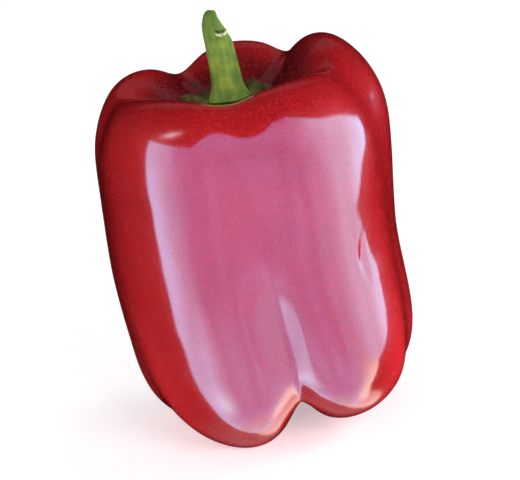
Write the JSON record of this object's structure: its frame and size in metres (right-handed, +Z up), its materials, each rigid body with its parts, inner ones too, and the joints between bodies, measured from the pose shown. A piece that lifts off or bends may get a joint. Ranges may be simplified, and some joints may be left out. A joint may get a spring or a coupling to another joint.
{
  "type": "bell pepper",
  "caption": "Red bell pepper standing on the feet of its lobes, with its green calyx and torn stem.",
  "frame": {"origin": "centre of the fruit's footprint, on the surface it stands on", "axes": "+Z up along the stem, -Y towards the deep cleft between the two front feet"},
  "size_m": [0.0818, 0.08, 0.1144],
  "materials": {
    "skin": "glossy waxy deep red skin",
    "green": "matt olive green to brown, dry at the edges",
    "stalk": "satin green with fine lengthwise ridges"
  },
  "bodies": {
    "root": {"fruit": "skin", "calyx": "green", "stem": "stalk"}
  },
  "joints": []
}
